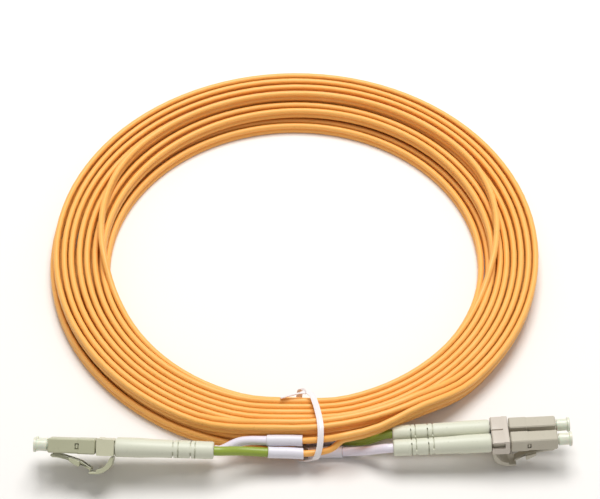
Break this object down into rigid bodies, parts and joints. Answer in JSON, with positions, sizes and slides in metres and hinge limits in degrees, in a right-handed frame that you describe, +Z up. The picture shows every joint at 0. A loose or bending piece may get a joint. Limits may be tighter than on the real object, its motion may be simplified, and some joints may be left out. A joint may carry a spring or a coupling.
{
  "type": "fiber optic patch cord",
  "caption": "Duplex zip-cord fibre patch cord wound in a flat round coil with a twist tie, with a capped duplex latching plug on each end.",
  "frame": {"origin": "on the surface the coil lies on, under the middle of the whole cord", "axes": "+Z up through the flat coil; +X to the right seen from the side of the plugs, along the two plugs; +Y away from the plugs, across the coil"},
  "size_m": [0.1686, 0.1772, 0.0163],
  "materials": {
    "jacket": "satin",
    "connector_body": "satin",
    "boot": "satin",
    "cap": "gloss",
    "green_sleeve": "satin",
    "white_sleeve": "satin",
    "marker": "satin",
    "tie": "satin",
    "buffer": "matt",
    "ceramic": "polished",
    "metal": "plain"
  },
  "bodies": {
    "cord": {"a_duplex_clip": "connector_body", "a1_housing": "connector_body", "a1_ferrule_spring": "metal", "a1_back_post": "connector_body", "a1_crimp_ring": "metal", "a1_boot": "boot", "a1_fibre": "buffer", "a2_housing": "connector_body", "a2_ferrule_spring": "metal", "a2_back_post": "connector_body", "a2_crimp_ring": "metal", "a2_boot": "boot", "a2_fibre": "buffer", "b_duplex_clip": "connector_body", "b1_housing": "connector_body", "b1_ferrule_spring": "metal", "b1_back_post": "connector_body", "b1_crimp_ring": "metal", "b1_boot": "boot", "b1_fibre": "buffer", "b2_housing": "connector_body", "b2_ferrule_spring": "metal", "b2_back_post": "connector_body", "b2_crimp_ring": "metal", "b2_boot": "boot", "b2_fibre": "buffer", "cord_coil": "jacket", "a1_leg": "jacket", "a1_sleeve": "green_sleeve", "a1_marker_tube": "marker", "a2_leg": "jacket", "a2_sleeve": "white_sleeve", "a2_marker_tube": "marker", "b1_leg": "jacket", "b1_sleeve": "white_sleeve", "b1_marker_tube": "marker", "b2_leg": "jacket", "b2_sleeve": "green_sleeve", "b2_marker_tube": "marker", "twist_tie": "tie"},
    "a1_trigger_body": {"a1_trigger": "connector_body"},
    "a1_latch_body": {"a1_latch": "connector_body"},
    "a1_ferrule_body": {"a1_ferrule": "ceramic", "a1_ferrule_flange": "metal"},
    "a1_cap_body": {"a1_dust_cap": "cap"},
    "a2_trigger_body": {"a2_trigger": "connector_body"},
    "a2_latch_body": {"a2_latch": "connector_body"},
    "a2_ferrule_body": {"a2_ferrule": "ceramic", "a2_ferrule_flange": "metal"},
    "a2_cap_body": {"a2_dust_cap": "cap"},
    "b1_trigger_body": {"b1_trigger": "connector_body"},
    "b1_latch_body": {"b1_latch": "connector_body"},
    "b1_ferrule_body": {"b1_ferrule": "ceramic", "b1_ferrule_flange": "metal"},
    "b1_cap_body": {"b1_dust_cap": "cap"},
    "b2_trigger_body": {"b2_trigger": "connector_body"},
    "b2_latch_body": {"b2_latch": "connector_body"},
    "b2_ferrule_body": {"b2_ferrule": "ceramic", "b2_ferrule_flange": "metal"},
    "b2_cap_body": {"b2_dust_cap": "cap"}
  },
  "joints": [
    {"name": "a1_trigger_press", "type": "hinge", "parent": "cord", "child": "a1_trigger_body", "pos_m": [-0.05767, -0.08339, 0.01032], "axis": [-0.0244, 0.6161, -0.7873], "range_deg": [0, 14], "stiffness_Nm_per_rad": 0.0005},
    {"name": "a1_latch_flex", "type": "hinge", "parent": "cord", "child": "a1_latch_body", "pos_m": [-0.07584, -0.08286, 0.01129], "axis": [0.0244, -0.6161, 0.7873], "range_deg": [0, 7], "stiffness_Nm_per_rad": 0.0005},
    {"name": "a1_ferrule_float", "type": "slide", "parent": "cord", "child": "a1_ferrule_body", "axis": [0.999, -0.0139, -0.0419], "range_m": [0, 0.0008], "stiffness_N_per_m": 1000, "deforming": ["a1_ferrule_spring"]},
    {"name": "a1_cap_pull", "type": "slide", "parent": "cord", "child": "a1_cap_body", "axis": [-0.999, 0.0139, 0.0419], "range_m": [0, 0.012]},
    {"name": "a2_trigger_press", "type": "hinge", "parent": "cord", "child": "a2_trigger_body", "pos_m": [-0.05782, -0.07954, 0.00539], "axis": [-0.0244, 0.6161, -0.7873], "range_deg": [0, 14], "stiffness_Nm_per_rad": 0.0005},
    {"name": "a2_latch_flex", "type": "hinge", "parent": "cord", "child": "a2_latch_body", "pos_m": [-0.07599, -0.07901, 0.00637], "axis": [0.0244, -0.6161, 0.7873], "range_deg": [0, 7], "stiffness_Nm_per_rad": 0.0005},
    {"name": "a2_ferrule_float", "type": "slide", "parent": "cord", "child": "a2_ferrule_body", "axis": [0.999, -0.0139, -0.0419], "range_m": [0, 0.0008], "stiffness_N_per_m": 1000, "deforming": ["a2_ferrule_spring"]},
    {"name": "a2_cap_pull", "type": "slide", "parent": "cord", "child": "a2_cap_body", "axis": [-0.999, 0.0139, 0.0419], "range_m": [0, 0.012]},
    {"name": "b1_trigger_press", "type": "hinge", "parent": "cord", "child": "b1_trigger_body", "pos_m": [0.06038, -0.07769, 0.00642], "axis": [0.0184, -0.9847, 0.1734], "range_deg": [0, 14], "stiffness_Nm_per_rad": 0.0005},
    {"name": "b1_latch_flex", "type": "hinge", "parent": "cord", "child": "b1_latch_body", "pos_m": [0.07853, -0.07712, 0.00772], "axis": [-0.0184, 0.9847, -0.1734], "range_deg": [0, 7], "stiffness_Nm_per_rad": 0.0005},
    {"name": "b1_ferrule_float", "type": "slide", "parent": "cord", "child": "b1_ferrule_body", "axis": [-0.9982, -0.0279, -0.0523], "range_m": [0, 0.0008], "stiffness_N_per_m": 1000, "deforming": ["b1_ferrule_spring"]},
    {"name": "b1_cap_pull", "type": "slide", "parent": "cord", "child": "b1_cap_body", "axis": [0.9982, 0.0279, 0.0523], "range_m": [0, 0.012]},
    {"name": "b2_trigger_press", "type": "hinge", "parent": "cord", "child": "b2_trigger_body", "pos_m": [0.06027, -0.07154, 0.00534], "axis": [0.0184, -0.9847, 0.1734], "range_deg": [0, 14], "stiffness_Nm_per_rad": 0.0005},
    {"name": "b2_latch_flex", "type": "hinge", "parent": "cord", "child": "b2_latch_body", "pos_m": [0.07842, -0.07097, 0.00663], "axis": [-0.0184, 0.9847, -0.1734], "range_deg": [0, 7], "stiffness_Nm_per_rad": 0.0005},
    {"name": "b2_ferrule_float", "type": "slide", "parent": "cord", "child": "b2_ferrule_body", "axis": [-0.9982, -0.0279, -0.0523], "range_m": [0, 0.0008], "stiffness_N_per_m": 1000, "deforming": ["b2_ferrule_spring"]},
    {"name": "b2_cap_pull", "type": "slide", "parent": "cord", "child": "b2_cap_body", "axis": [0.9982, 0.0279, 0.0523], "range_m": [0, 0.012]}
  ],
  "couplings": [
    {"joint": "a1_latch_flex", "follows": "a1_trigger_press", "ratio": 0.5},
    {"joint": "a2_latch_flex", "follows": "a2_trigger_press", "ratio": 0.5},
    {"joint": "b1_latch_flex", "follows": "b1_trigger_press", "ratio": 0.5},
    {"joint": "b2_latch_flex", "follows": "b2_trigger_press", "ratio": 0.5}
  ]
}
